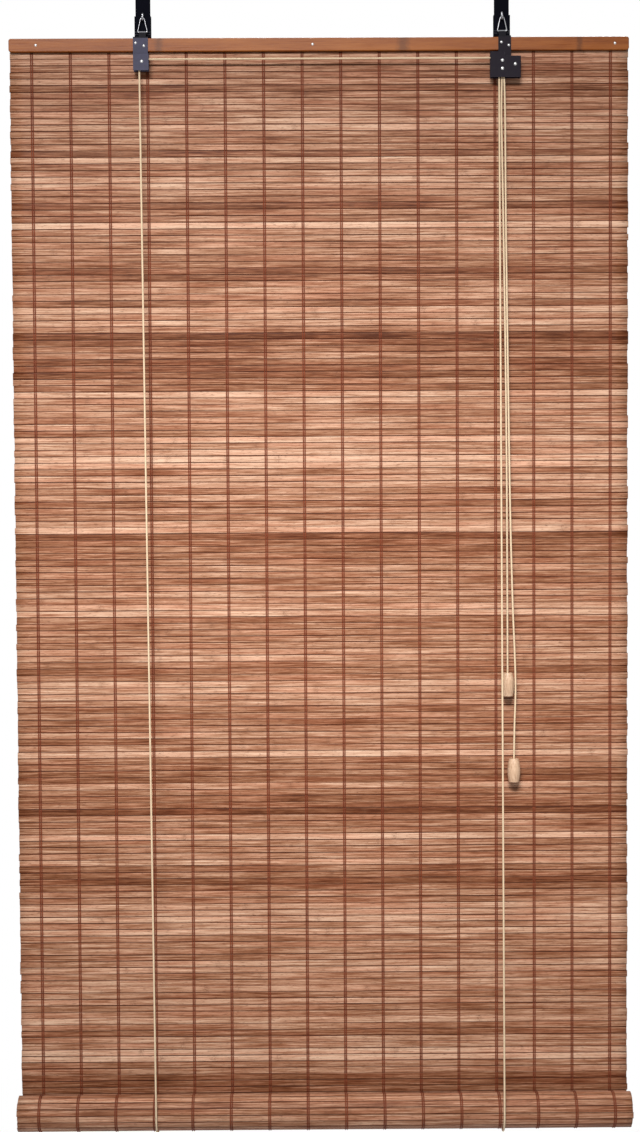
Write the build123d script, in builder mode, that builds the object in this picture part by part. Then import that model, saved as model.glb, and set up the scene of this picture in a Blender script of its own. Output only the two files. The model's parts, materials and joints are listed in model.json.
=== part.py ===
from build123d import *

import math
import os

# Bamboo roll up blind, hung from two webbing straps. Millimetres.
# X runs along the rail, -Y is the room side and +Z is up. The origin lies midway between the
# two strap eyelets, on the flat back of the eyelets.

# ---- driving dimensions ----

# Mat of bamboo slats
blind_width = 900.0            # length of the rail and of each slat
hanging_slats = 164            # slats between the rail and the roll
slat_pitch = 9.45
slat_gap = 0.55                # daylight between two slats
slat_thickness = 1.4
slat_edge_radius = 0.45
slats_per_band = 14
thread_columns = 16
thread_diameter = 0.8
first_thread_inset = 32.4      # first thread column from the left end of the slats
last_thread_inset = 26.1       # last thread column from the right end
thread_play = 0.05

# Rail: two battens nailed together with the top of the mat between them
rail_height = 19.0
rail_drop = 85.0               # eyelet centre down to the top of the rail
rail_shift = -5.0              # middle of the rail, seen from the middle between the straps
front_batten_thickness = 5.7
rear_batten_thickness = 5.8
rear_batten_height = 12.0
batten_corner_radius = 3.5
batten_edge_radius = 1.0
wall_gap = 0.9                 # rear batten to the wall plane

# Roll
roll_radius = 27.0             # corners of the outermost turn, at mid thickness
roll_layer_pitch = 3.3
roll_turns = 3.2
bottom_batten_width = 18.5
bottom_batten_thickness = 5.8
tail_lead = 0.7                # tail of the mat past the edge of the bottom battens
tail_turn = 40.0               # degrees from the end of the spiral to the tail

# Straps, eyelets and hooks
strap_spacing = 522.0
strap_width = 21.6
strap_flap_width = 24.0
strap_thickness = 1.6
strap_top = 12.0               # end of the strap above the eyelet centre
strap_end_radius = 4.0
strap_foot_gap = 1.5           # folded end above the rail
flap_height = 33.5             # top of the folded flap above the rail
eyelet_bore_radius = 3.2
eyelet_wall = 0.8
eyelet_flange_radius = 7.0
eyelet_flange_thickness = 0.5
hook_wire = 3.0
hook_crown_height = 34.8       # centre of the hook's upper bend above the rail
hook_crown_radius = 2.6
hook_bight_radius = 2.9
hook_bight_height = 29.9       # centre of the hook's lower bend above the rail
hook_tip_rise = 1.6
hook_shank_foot = 9.0          # lower end of the hook above the rail, inside the pocket

# Wire links
link_wire = 1.4
link_bar_height = 9.3          # bar above the rail
link_half_bar = 7.2
link_half_top = 2.5
link_bar_corner = 1.5
link_top_corner = 2.0
wire_play = 0.1

# Brackets and covers, folded from steel strip
strip = 1.2
eye_play = 0.3
eye_width = 10.0
eye_seam = 0.8
web_foot = 0.5                 # foot of the slanted web above the rail
web_shoulder = 1.8             # where the web widens to the plate
cage_gap = 7.8                 # between the back plate and the cover
left_plate_width = 21.6
right_plate_width = 18.4
left_bracket_shift = -2.8      # plate centre from its strap
right_bracket_shift = 3.2
plate_foot = 26.0              # foot of the nailed plate below the top of the rail
left_cover_width = 22.3
left_cover_top = 24.6
left_cover_foot = 48.3
lock_width = 44.0
lock_step = 20.3               # width of the taller left part of the lock
lock_shift = 3.7               # lock centre from the strap
lock_top = 22.9
lock_shoulder = 29.5
lock_foot = 60.0
lock_neck_width = 14.0
lock_flange_start = 24.5       # start of the lower top flange, from the left edge
cover_corner_radius = 1.2

# Pulley, rollers, cam and their pins
pin_diameter = 2.4
pin_play = 0.15
pin_head_radius = 2.3
pin_head_height = 0.9
pulley_path_radius = 4.0       # centre line of the cord on the left pulley
roller_path_radius = 4.4       # centre line of the cord on the lock rollers
roller_flange = 0.9            # flange beyond the cord's centre line
pulley_thickness = 6.0
cord_line_drop = 31.5          # cross cord below the top of the rail
left_pulley_shift = -0.4       # left pulley from its strap
roller_shift = -1.0            # roller pins from the right strap
roller_spacing = 11.6
cam_shift = 17.6               # cam pin from the right strap
cam_drop = 41.1
cam_hub_radius = 4.2
cam_thickness = 6.6
cam_play = 0.3
cam_spread = 34.0              # degrees covered by the toothed nose
cam_rest_angle = 25.0          # degrees that the nose hangs below level
cam_teeth = 5
cam_tooth_depth = 0.8

# Cords
cord_diameter = 2.6
cord_play = 0.15
cord_end_gap = 0.3
sling_radius = 30.0
left_sling_x = -251.0
right_sling_x = 256.4
cord_hole_radius = 1.6
cord_inset = 3.0               # back cord from the back of the rear batten
knot_radius = 3.2
leave_angle = 25.0             # degrees past level where the cords leave the lower roller
pull_exit_drop = 58.4          # top of the free cords below the top of the rail

# Tassels
tassel_height = 34.0
tassel_radius = 9.4
tassel_foot_radius = 7.6
tassel_top_radius = 6.6
tassel_belly_height = 15.0
tassel_hole_radius = 1.6
tassel_cavity_radius = 5.0
tassel_cavity_depth = 12.0
tassel_knot_radius = 3.0

# Nails
nail_diameter = 1.6
nail_play = 0.05
nail_head_radius = 2.0
nail_head_height = 0.9
rail_nail_places = (-415.5, -14.4, 424.5)
rail_nail_drop = 9.5
rail_nail_length = 12.5
plate_nail_length = 6.6
left_plate_nails = ((-9.7, 7.0), (2.1, 11.2))     # from the strap's centre, and below the rail's top
right_plate_nails = ((-1.6, 7.8), (9.1, 12.2))

os.makedirs("parts", exist_ok=True)

# ---- places that follow ----

slat_height = slat_pitch - slat_gap
rail_top = -rail_drop
rail_foot = rail_top - rail_height
slat_left = rail_shift - blind_width / 2
strap_x = {"left": -strap_spacing / 2, "right": strap_spacing / 2}

rear_batten_back = -wall_gap
rear_batten_front = rear_batten_back - rear_batten_thickness
mat_half = slat_thickness / 2
thread_space = thread_diameter + 2 * thread_play
mat_y = rear_batten_front - thread_space - mat_half
front_batten_back = mat_y - mat_half - thread_space
front_batten_front = front_batten_back - front_batten_thickness
rail_nail_z = rail_top - rail_nail_drop

plate_back = front_batten_front
plate_front = plate_back - strip
cover_back = plate_front - cage_gap
cover_front = cover_back - strip
cord_y = plate_front - cage_gap / 2

strap_back = -eyelet_flange_thickness
strap_front = strap_back - strap_thickness
pocket_gap = hook_wire + 2 * wire_play
flap_back = strap_front - pocket_gap
flap_front = flap_back - strap_thickness
shank_y = strap_front - pocket_gap / 2
hook_front_y = shank_y - 2 * hook_crown_radius
eye_y = hook_front_y - hook_bight_radius
eye_z = rail_top + link_bar_height
eye_inner = link_wire / 2 + eye_play
eye_outer = eye_inner + strip
bight_z = rail_top + hook_bight_height
link_top_z = bight_z - hook_bight_radius + hook_wire / 2 + wire_play + link_wire / 2

roll_y = mat_y - roll_radius
roll_z = rail_foot - hanging_slats * slat_pitch
sling_back_y = roll_y + sling_radius
sling_front_y = roll_y - sling_radius
back_cord_y = rear_batten_back - cord_inset
rear_batten_top = rail_foot + rear_batten_height

cord_radius = cord_diameter / 2
cord_line_z = rail_top - cord_line_drop
left_pulley = (strap_x["left"] + left_pulley_shift, cord_line_z - pulley_path_radius)
upper_roller = (strap_x["right"] + roller_shift, cord_line_z - roller_path_radius)
lower_roller = (upper_roller[0], upper_roller[1] - roller_spacing)
outer_path_radius = roller_path_radius + cord_diameter + cord_play
cam_pin = (strap_x["right"] + cam_shift, rail_top - cam_drop)
cam_reach = cam_pin[0] - lower_roller[0] - outer_path_radius - cord_radius - cam_play
pull_z = rail_top - pull_exit_drop


# ---- helpers ----

def keep(builder, name):
    """Label a finished piece and write it."""
    builder.part.label = name
    export_step(builder.part, f"parts/{name}.step")


def rod_along_y(places, radius, back, front, mode=Mode.ADD):
    """Cylinders along Y at (x, z) places, from the back to the front."""
    with BuildSketch(Plane.XZ.offset(-back)) as section:
        with Locations(*places):
            Circle(radius)
    extrude(section.sketch, amount=back - front, mode=mode)


def domed_heads(places, radius, seat, height):
    """Domed heads at (x, z) places, seated at one Y and rising towards the room."""
    ball = (radius ** 2 + height ** 2) / (2 * height)
    half_turn = math.asin(radius / ball) / 2
    crown_side = (ball * math.sin(half_turn), ball - height - ball * math.cos(half_turn))
    for x, z in places:
        with BuildSketch(Plane((x, seat, z))) as section:
            with BuildLine():
                Line((0, -height), (0, 0))
                Line((0, 0), (radius, 0))
                ThreePointArc((radius, 0), crown_side, (0, -height))
            make_face()
        revolve(section.sketch, axis=Axis((x, seat, z), (0, 1, 0)))


def strip_outline(line, thickness):
    """Outline of a strip of even thickness whose middle follows the straight runs of a line."""
    near_side = []
    far_side = []
    for i, point in enumerate(line):
        way_in = (point - line[i - 1] if i else line[1] - point).normalized()
        way_out = (line[i + 1] - point if i + 1 < len(line) else way_in).normalized()
        along = (way_in + way_out).normalized()
        across = Vector(-along.Y, along.X) * (thickness / 2 / along.dot(way_in))
        near_side.append(point + across)
        far_side.append(point - across)
    return near_side + far_side[::-1]


def round_tube(path, radius):
    """Sweep a round section along the path."""
    with BuildSketch(Plane(origin=path @ 0, z_dir=path % 0)) as section:
        Circle(radius)
    sweep(section.sketch, path=path)


def straight_cord(name, start, end):
    """Straight stretch of lift cord between two points."""
    run = Vector(*end) - Vector(*start)
    with BuildPart() as cord:
        with BuildSketch(Plane(origin=start, z_dir=run)):
            Circle(cord_radius)
        extrude(amount=run.length)
    keep(cord, name)


def corner_radii(points):
    """Radius for each inner corner of a cord's route, as large as its two runs allow."""
    radii = []
    for before, corner, after in zip(points, points[1:], points[2:]):
        way_in = Vector(*corner) - Vector(*before)
        way_out = Vector(*after) - Vector(*corner)
        half_turn = math.radians(way_in.get_angle(way_out)) / 2
        radii.append(0.45 * min(way_in.length, way_out.length) / math.tan(half_turn))
    return radii


# ---- mat ----

def slat_centre(index):
    """Height of a slat's middle; slat 0 is the first below the rail."""
    return rail_foot - (index + 0.5) * slat_pitch


def slats(indices):
    """Slats side by side, one below another."""
    with BuildSketch(Plane.YZ.offset(slat_left)) as section:
        with Locations(*[(mat_y, slat_centre(i)) for i in indices]):
            RectangleRounded(slat_thickness, slat_height, slat_edge_radius)
    extrude(section.sketch, amount=blind_width)


rail_nails = [(x, rail_nail_z) for x in rail_nail_places]
nail_hole_radius = nail_diameter / 2 + nail_play
with BuildPart() as slats_in_rail:
    slats([-2, -1])
    rod_along_y(rail_nails, nail_hole_radius, rear_batten_front, front_batten_back, Mode.SUBTRACT)
keep(slats_in_rail, "slats_in_rail")

for first in range(0, hanging_slats, slats_per_band):
    with BuildPart() as band:
        slats(range(first, min(first + slats_per_band, hanging_slats)))
    keep(band, f"slats_{first // slats_per_band + 1:02d}")

thread_top = slat_centre(-2) + slat_height / 2
thread_foot = roll_z + cord_end_gap
thread_pitch = (blind_width - first_thread_inset - last_thread_inset) / (thread_columns - 1)
thread_offset = mat_half + thread_play + thread_diameter / 2
with BuildPart() as warp_threads:
    with BuildSketch(Plane.XY.offset(thread_foot)):
        for column in range(thread_columns):
            thread_x = slat_left + first_thread_inset + column * thread_pitch
            with Locations((thread_x, mat_y - thread_offset), (thread_x, mat_y + thread_offset)):
                Circle(thread_diameter / 2)
    extrude(amount=thread_top - thread_foot)
keep(warp_threads, "warp_threads")


# ---- rail ----

left_nail_places = [(strap_x["left"] + x, rail_top - drop) for x, drop in left_plate_nails]
right_nail_places = [(strap_x["right"] + x, rail_top - drop) for x, drop in right_plate_nails]
plate_nail_places = left_nail_places + right_nail_places
plate_nail_back = plate_front + plate_nail_length

with BuildPart() as head_batten_front:
    with BuildSketch(Plane.XZ.offset(-front_batten_back)):
        with Locations((rail_shift, rail_top - rail_height / 2)):
            RectangleRounded(blind_width, rail_height, batten_corner_radius)
    extrude(amount=front_batten_thickness)
    fillet(faces().sort_by(Axis.Y)[0].edges(), batten_edge_radius)
    rod_along_y(rail_nails, nail_hole_radius, front_batten_back, front_batten_front, Mode.SUBTRACT)
    rod_along_y(plate_nail_places, nail_hole_radius, plate_nail_back, front_batten_front,
                Mode.SUBTRACT)
keep(head_batten_front, "head_batten_front")

cord_holes = [(x, back_cord_y, rear_batten_top - rear_batten_height / 2)
              for x in (left_sling_x, right_sling_x)]
rail_nail_back = front_batten_front + rail_nail_length
with BuildPart() as head_batten_back:
    with BuildSketch(Plane.XZ.offset(-rear_batten_back)):
        with Locations((rail_shift, rear_batten_top - rear_batten_height / 2)):
            RectangleRounded(blind_width, rear_batten_height, batten_corner_radius)
    extrude(amount=rear_batten_thickness)
    fillet(faces().sort_by(Axis.Y)[-1].edges(), batten_edge_radius)
    rod_along_y(rail_nails, nail_hole_radius, rail_nail_back, rear_batten_front, Mode.SUBTRACT)
    with Locations(*cord_holes):
        Cylinder(cord_hole_radius, rear_batten_height, mode=Mode.SUBTRACT)
keep(head_batten_back, "head_batten_back")

with BuildPart() as head_nails:
    rod_along_y(rail_nails, nail_diameter / 2, rail_nail_back, front_batten_front)
    domed_heads(rail_nails, nail_head_radius, front_batten_front, nail_head_height)
keep(head_nails, "head_nails")


# ---- roll ----

def spiral_points():
    """Corners of the rolled mat, from the foot of the hanging slats, under, up and over, inwards."""
    points = []
    radius = roll_radius
    angle = 0.0
    while angle < 2 * math.pi * roll_turns:
        if points:
            angle += 2 * math.asin(slat_pitch / 2 / radius)
        radius = roll_radius - roll_layer_pitch * angle / (2 * math.pi)
        points.append(Vector(roll_y + radius * math.cos(angle), roll_z - radius * math.sin(angle)))
    return points, angle


spiral, spiral_end = spiral_points()
tail_angle = spiral_end + math.radians(tail_turn)
tail_way = Vector(math.cos(tail_angle), -math.sin(tail_angle))
roll_centre = Vector(roll_y, roll_z)
tail_start = roll_centre + tail_way * (bottom_batten_width / 2 + tail_lead)
tail_end = roll_centre - tail_way * (bottom_batten_width / 2)
batten_plane = Plane(
    origin=(slat_left, roll_y, roll_z), x_dir=(0, tail_way.X, tail_way.Y), z_dir=(1, 0, 0)
)
nail_plane_normal = batten_plane.y_dir
bottom_stack = slat_thickness / 2 + bottom_batten_thickness


def bottom_nails(radius, start, end, mode=Mode.ADD):
    """Cylinders across the bottom battens, in line with the nails of the rail."""
    for x in rail_nail_places:
        centre = Vector(x, roll_y, roll_z) + nail_plane_normal * start
        with BuildSketch(Plane(origin=centre, z_dir=nail_plane_normal)) as section:
            Circle(radius)
        extrude(section.sketch, amount=end - start, mode=mode)


with BuildPart() as roll_mat:
    with BuildSketch(Plane.YZ.offset(slat_left)):
        with BuildLine():
            Polyline(*strip_outline(spiral + [tail_start, tail_end], slat_thickness), close=True)
        make_face()
    extrude(amount=blind_width)
    bottom_nails(nail_hole_radius, -slat_thickness, slat_thickness, Mode.SUBTRACT)
keep(roll_mat, "roll_mat")

with BuildPart() as bottom_battens:
    with BuildSketch(batten_plane):
        with Locations((0, bottom_stack - bottom_batten_thickness / 2),
                       (0, bottom_batten_thickness / 2 - bottom_stack)):
            Rectangle(bottom_batten_width, bottom_batten_thickness)
    extrude(amount=blind_width)
    fillet(edges().filter_by(Axis.X), batten_edge_radius / 2)
    bottom_nails(nail_hole_radius, -bottom_stack, bottom_stack, Mode.SUBTRACT)
keep(bottom_battens, "bottom_battens")

with BuildPart() as bottom_batten_nails:
    bottom_nails(nail_diameter / 2, -bottom_stack, bottom_stack)
    bottom_nails(nail_head_radius, bottom_stack, bottom_stack + nail_head_height)
keep(bottom_batten_nails, "bottom_batten_nails")


# ---- straps, eyelets, hooks and links ----

def strap(side):
    """Webbing strap whose foot is folded forward and up into a pocket for the hook."""
    x = strap_x[side]
    fold_y = shank_y
    fold_z = rail_top + strap_foot_gap + strap_thickness + pocket_gap / 2
    flap_top = rail_top + flap_height
    with BuildPart() as piece:
        with BuildSketch(Plane.YZ.offset(x)):
            with BuildLine():
                Line((strap_back, strap_top), (strap_front, strap_top))
                Line((strap_front, strap_top), (strap_front, fold_z))
                CenterArc((fold_y, fold_z), pocket_gap / 2, 0, -180)
                Line((flap_back, fold_z), (flap_back, flap_top))
                Line((flap_back, flap_top), (flap_front, flap_top))
                Line((flap_front, flap_top), (flap_front, fold_z))
                CenterArc((fold_y, fold_z), pocket_gap / 2 + strap_thickness, 180, 180)
                Line((strap_back, fold_z), (strap_back, strap_top))
            make_face()
        extrude(amount=strap_flap_width / 2, both=True)
        with BuildSketch(Plane.XZ.offset(-strap_back)):
            for way in (-1, 1):
                with Locations((x + way * (strap_width + strap_flap_width) / 4,
                                (strap_top + flap_top) / 2)):
                    Rectangle((strap_flap_width - strap_width) / 2, strap_top - flap_top)
        extrude(amount=strap_thickness, mode=Mode.SUBTRACT)
        fillet(edges().filter_by(Axis.Y).group_by(Axis.Z)[-1], strap_end_radius)
        rod_along_y([(x, 0)], eyelet_bore_radius + eyelet_wall, strap_back, strap_front,
                    Mode.SUBTRACT)
    keep(piece, f"strap_{side}")


def eyelet(side):
    """Pressed metal eyelet with a flat flange on each face of the strap."""
    x = strap_x[side]
    front = strap_front - eyelet_flange_thickness
    tube_radius = eyelet_bore_radius + eyelet_wall
    with BuildPart() as piece:
        rod_along_y([(x, 0)], tube_radius, 0, front)
        rod_along_y([(x, 0)], eyelet_flange_radius, 0, strap_back)
        rod_along_y([(x, 0)], eyelet_flange_radius, strap_front, front)
        rod_along_y([(x, 0)], eyelet_bore_radius, 0, front, Mode.SUBTRACT)
    keep(piece, f"eyelet_{side}")


def hook(side):
    """Wire hook: up out of the pocket, over the flap, down in front and up again at the tip."""
    crown_z = rail_top + hook_crown_height
    crown_y = shank_y - hook_crown_radius
    with BuildPart() as piece:
        with BuildLine(Plane.YZ.offset(strap_x[side])) as path:
            Line((shank_y, rail_top + hook_shank_foot), (shank_y, crown_z))
            CenterArc((crown_y, crown_z), hook_crown_radius, 0, 180)
            Line((hook_front_y, crown_z), (hook_front_y, bight_z))
            CenterArc((eye_y, bight_z), hook_bight_radius, 0, -180)
            Line((eye_y - hook_bight_radius, bight_z),
                 (eye_y - hook_bight_radius, bight_z + hook_tip_rise))
        round_tube(path.wires()[0], hook_wire / 2)
        tip = faces().sort_by(Axis.Y)[0:3].sort_by(Axis.Z)[-1]
        fillet(tip.edges(), hook_wire / 6)
    keep(piece, f"hook_{side}")


def wire_link(side):
    """Closed wire link: it hangs in the hook's bight, and its bar carries the bracket."""
    x = strap_x[side]
    with BuildPart() as piece:
        with BuildLine(Plane.XZ.offset(-eye_y)) as path:
            FilletPolyline(
                (x + link_half_bar, eye_z),
                (x + link_half_top, link_top_z),
                (x - link_half_top, link_top_z),
                (x - link_half_bar, eye_z),
                radius=[link_bar_corner, link_top_corner, link_top_corner, link_bar_corner],
                close=True,
            )
        round_tube(path.wires()[0], link_wire / 2)
    keep(piece, f"wire_link_{side}")


for side in ("left", "right"):
    strap(side)
    eyelet(side)
    hook(side)
    wire_link(side)


# ---- brackets and covers ----

pin_radius = pin_diameter / 2
pin_hole_radius = pin_radius + pin_play / 3
left_cover_x = left_pulley[0] - 1.3
lock_x = strap_x["right"] + lock_shift
lock_left = lock_x - lock_width / 2
lock_right = lock_x + lock_width / 2
lock_pins = [upper_roller, lower_roller, cam_pin]


def box_outline(left, right, top, foot):
    """Rectangle between two X values and two Z values, in an XZ sketch."""
    with Locations(((left + right) / 2, (top + foot) / 2)):
        Rectangle(right - left, top - foot)


def bracket_arm(side, plate_x, plate_width):
    """Eye curled round the link's bar, and the web that slants down to the nailed plate."""
    web_foot_z = rail_top + web_foot
    shoulder_z = rail_top + web_shoulder
    with BuildSketch(Plane.YZ.offset(strap_x[side])) as arm:
        with BuildLine():
            Polyline((eye_y - eye_inner, eye_z), (eye_y - eye_outer, eye_z),
                     (plate_front, web_foot_z), (plate_back, web_foot_z), close=True)
        make_face()
        with Locations((eye_y, eye_z)):
            Circle(eye_outer)
            Circle(eye_inner, mode=Mode.SUBTRACT)
        with Locations((eye_y + eye_outer / 2, eye_z - eye_outer / 2)):
            Rectangle(eye_outer, eye_seam, rotation=-45, mode=Mode.SUBTRACT)
    extrude(arm.sketch, amount=eye_width / 2, both=True)
    share = (web_shoulder - web_foot) / (link_bar_height - web_foot)
    shoulder_front = plate_front + share * (eye_y - eye_outer - plate_front)
    with BuildSketch(Plane.YZ.offset(plate_x)) as shoulder:
        with BuildLine():
            Polyline((shoulder_front, shoulder_z), (plate_front, web_foot_z),
                     (plate_back, web_foot_z), (shoulder_front + strip, shoulder_z), close=True)
        make_face()
    extrude(shoulder.sketch, amount=plate_width / 2, both=True)


with BuildPart() as bracket_left:
    plate_x = strap_x["left"] + left_bracket_shift
    bracket_arm("left", plate_x, left_plate_width)
    with BuildSketch(Plane.XZ.offset(-plate_back)):
        box_outline(plate_x - left_plate_width / 2, plate_x + left_plate_width / 2,
                    rail_top + web_foot, rail_top - plate_foot)
        box_outline(left_cover_x - left_cover_width / 2, left_cover_x + left_cover_width / 2,
                    rail_top - left_cover_top, rail_top - left_cover_foot)
    extrude(amount=strip)
    rod_along_y(left_nail_places, nail_hole_radius, plate_back, plate_front, Mode.SUBTRACT)
    rod_along_y([left_pulley], pin_hole_radius, plate_back, plate_front, Mode.SUBTRACT)
keep(bracket_left, "bracket_left")

with BuildPart() as pulley_cover:
    with BuildSketch(Plane.XZ.offset(-cover_back)):
        box_outline(left_cover_x - left_cover_width / 2, left_cover_x + left_cover_width / 2,
                    rail_top - left_cover_top, rail_top - left_cover_foot)
    extrude(amount=strip)
    fillet(edges().filter_by(Axis.Y).group_by(Axis.Z)[0], cover_corner_radius)
    with BuildSketch(Plane.XZ.offset(-plate_front)):
        box_outline(left_cover_x - left_cover_width / 2, left_cover_x + left_cover_width / 2,
                    rail_top - left_cover_top, rail_top - left_cover_top - strip)
    extrude(amount=cage_gap)
    fillet(edges().filter_by(Axis.X).group_by(Axis.Y)[0].group_by(Axis.Z)[-1], strip * 0.7)
    rod_along_y([left_pulley], pin_hole_radius, cover_back, cover_front, Mode.SUBTRACT)
keep(pulley_cover, "pulley_cover")


def lock_outline():
    """Stepped face of the cord lock."""
    box_outline(lock_left, lock_left + lock_step, rail_top - lock_top, rail_top - lock_foot)
    box_outline(lock_left, lock_right, rail_top - lock_shoulder, rail_top - lock_foot)


with BuildPart() as bracket_right:
    plate_x = strap_x["right"] + right_bracket_shift
    neck_left = lock_left + lock_step - lock_neck_width / 4
    bracket_arm("right", plate_x, right_plate_width)
    with BuildSketch(Plane.XZ.offset(-plate_back)):
        box_outline(plate_x - right_plate_width / 2, plate_x + right_plate_width / 2,
                    rail_top + web_foot, rail_top - lock_top)
        box_outline(neck_left, neck_left + lock_neck_width,
                    rail_top - lock_top, rail_top - lock_shoulder)
        lock_outline()
    extrude(amount=strip)
    rod_along_y(right_nail_places, nail_hole_radius, plate_back, plate_front, Mode.SUBTRACT)
    rod_along_y(lock_pins, pin_hole_radius, plate_back, plate_front, Mode.SUBTRACT)
keep(bracket_right, "bracket_right")

with BuildPart() as lock_cover:
    with BuildSketch(Plane.XZ.offset(-cover_back)):
        lock_outline()
    extrude(amount=strip)
    with BuildSketch(Plane.XZ.offset(-plate_front)):
        box_outline(lock_left, lock_left + lock_step,
                    rail_top - lock_top, rail_top - lock_top - strip)
        box_outline(lock_left + lock_flange_start, lock_right,
                    rail_top - lock_shoulder, rail_top - lock_shoulder - strip)
        box_outline(lock_right - strip, lock_right,
                    rail_top - lock_shoulder, rail_top - lock_foot)
    extrude(amount=cage_gap)
    fillet(edges().filter_by(Axis.X).group_by(Axis.Y)[0].group_by(Axis.Z)[-1], strip * 0.7)
    fillet(edges().filter_by(Axis.Z).group_by(Axis.X)[-1].group_by(Axis.Y)[0], strip * 0.7)
    rod_along_y(lock_pins, pin_hole_radius, cover_back, cover_front, Mode.SUBTRACT)
keep(lock_cover, "lock_cover")

with BuildPart() as bracket_nails:
    rod_along_y(plate_nail_places, nail_diameter / 2, plate_nail_back, plate_front)
    domed_heads(plate_nail_places, nail_head_radius, plate_front, nail_head_height)
keep(bracket_nails, "bracket_nails")


# ---- pulley, rollers, cam and pins ----

def pins(places):
    """Riveted pins: a head on the cover and a peened end behind the back plate."""
    rod_along_y(places, pin_radius, plate_back, cover_front)
    domed_heads(places, pin_head_radius, cover_front, pin_head_height)
    rod_along_y(places, pin_head_radius, plate_back + pin_head_height, plate_back)


def wheel(name, centre, path_radius):
    """Grooved wheel for a cord, free on its pin."""
    half = pulley_thickness / 2
    rim = path_radius + roller_flange
    groove = cord_radius + cord_play
    with BuildPart() as piece:
        rod_along_y([centre], rim, cord_y + half, cord_y - half)
        rod_along_y([centre], pin_radius + pin_play, cord_y + half, cord_y - half, Mode.SUBTRACT)
        with BuildSketch(Plane(origin=(centre[0], cord_y, centre[1]), z_dir=(0, 0, 1))):
            with Locations((path_radius, 0)):
                Circle(groove)
            with Locations((path_radius + rim, 0)):
                Rectangle(2 * rim, 2 * groove)
        revolve(axis=Axis((centre[0], cord_y, centre[1]), (0, 1, 0)), mode=Mode.SUBTRACT)
    keep(piece, name)


with BuildPart() as pulley_pin:
    pins([left_pulley])
keep(pulley_pin, "pulley_pin")

with BuildPart() as lock_pin_set:
    pins(lock_pins)
keep(lock_pin_set, "lock_pins")

wheel("pulley_left", left_pulley, pulley_path_radius)
wheel("lock_roller_upper", upper_roller, roller_path_radius)
wheel("lock_roller_lower", lower_roller, roller_path_radius)


def cam_outline():
    """Hub with a nose that widens to a toothed arc facing the cords."""
    start = math.radians(180 + cam_rest_angle - cam_spread / 2)
    step = math.radians(cam_spread) / (2 * cam_teeth)
    teeth = []
    for i in range(2 * cam_teeth + 1):
        reach = cam_reach - (cam_tooth_depth if i % 2 else 0)
        angle = start + i * step
        teeth.append((reach * math.cos(angle), reach * math.sin(angle)))
    side = math.radians(90 + cam_rest_angle)
    shoulder = (cam_hub_radius * math.cos(side), cam_hub_radius * math.sin(side))
    return [shoulder] + teeth + [(-shoulder[0], -shoulder[1])]


with BuildPart() as lock_cam:
    with BuildSketch(Plane.XZ.offset(-cord_y - cam_thickness / 2)):
        with Locations(cam_pin):
            Circle(cam_hub_radius)
            Polygon(*cam_outline(), align=None)
            Circle(pin_radius + pin_play, mode=Mode.SUBTRACT)
    extrude(amount=cam_thickness)
keep(lock_cam, "lock_cam")


# ---- lift cords ----

def round_centre(centre, radius, angle):
    """Point on a circle in the XZ plane, angle in degrees from +X towards +Z."""
    return (centre[0] + radius * math.cos(math.radians(angle)),
            centre[1] + radius * math.sin(math.radians(angle)))


def exit_point(path_radius):
    """Where a cord that has left the lower roller crosses the height of the free cords."""
    x, z = round_centre(lower_roller, path_radius, -leave_angle)
    return x - (z - pull_z) * math.tan(math.radians(leave_angle)), pull_z


def stub_end(path_radius):
    """End of the fixed cord, just short of the ball that tops the free cord."""
    x, z = exit_point(path_radius)
    back = cord_radius + cord_end_gap
    leave = math.radians(leave_angle)
    return x + back * math.sin(leave), z + back * math.cos(leave)


bridge_angle = math.degrees(math.asin((outer_path_radius - roller_path_radius) / roller_spacing))
with BuildPart() as cross_cord:
    with BuildLine(Plane.XZ.offset(-cord_y)) as route:
        CenterArc(left_pulley, pulley_path_radius, 180, -90)
        Line((left_pulley[0], cord_line_z), (upper_roller[0], cord_line_z))
        CenterArc(upper_roller, roller_path_radius, 90, bridge_angle - 90)
        Line(round_centre(upper_roller, roller_path_radius, bridge_angle),
             round_centre(lower_roller, outer_path_radius, bridge_angle))
        CenterArc(lower_roller, outer_path_radius, bridge_angle, -bridge_angle - leave_angle)
        Line(round_centre(lower_roller, outer_path_radius, -leave_angle),
             stub_end(outer_path_radius))
    round_tube(route.wires()[0], cord_radius)
keep(cross_cord, "cross_cord")

with BuildPart() as lock_cord:
    with BuildLine(Plane.XZ.offset(-cord_y)) as route:
        CenterArc(lower_roller, roller_path_radius, 180, -180 - leave_angle)
        Line(round_centre(lower_roller, roller_path_radius, -leave_angle),
             stub_end(roller_path_radius))
    round_tube(route.wires()[0], cord_radius)
keep(lock_cord, "lock_cord")

front_cord_tops = {
    "left": (left_pulley[0] - pulley_path_radius, cord_y, left_pulley[1] - cord_play),
    "right": (lower_roller[0] - roller_path_radius, cord_y, lower_roller[1] - cord_play),
}
for side, sling_x in (("left", left_sling_x), ("right", right_sling_x)):
    straight_cord(f"lift_cord_{side}_front",
                  (sling_x, sling_front_y, roll_z + cord_end_gap), front_cord_tops[side])
    straight_cord(f"lift_cord_{side}_back",
                  (sling_x, sling_back_y, roll_z + cord_end_gap),
                  (sling_x, back_cord_y, rear_batten_top))
    with BuildPart() as sling:
        with BuildSketch(Plane.XY.offset(roll_z)):
            with Locations((sling_x, sling_back_y)):
                Circle(cord_radius)
        revolve(axis=Axis((sling_x, roll_y, roll_z), (-1, 0, 0)), revolution_arc=180)
    keep(sling, f"cord_sling_{side}")

with BuildPart() as cord_knots:
    with BuildSketch(Plane.XY.offset(rear_batten_top)):
        with Locations((left_sling_x, back_cord_y), (right_sling_x, back_cord_y)):
            Circle(knot_radius * 0.7)
    extrude(amount=knot_radius * 1.5)
    fillet(edges().group_by(Axis.Z)[-1], knot_radius * 0.5)
keep(cord_knots, "cord_knots")


# ---- pull cords and tassels ----

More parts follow.
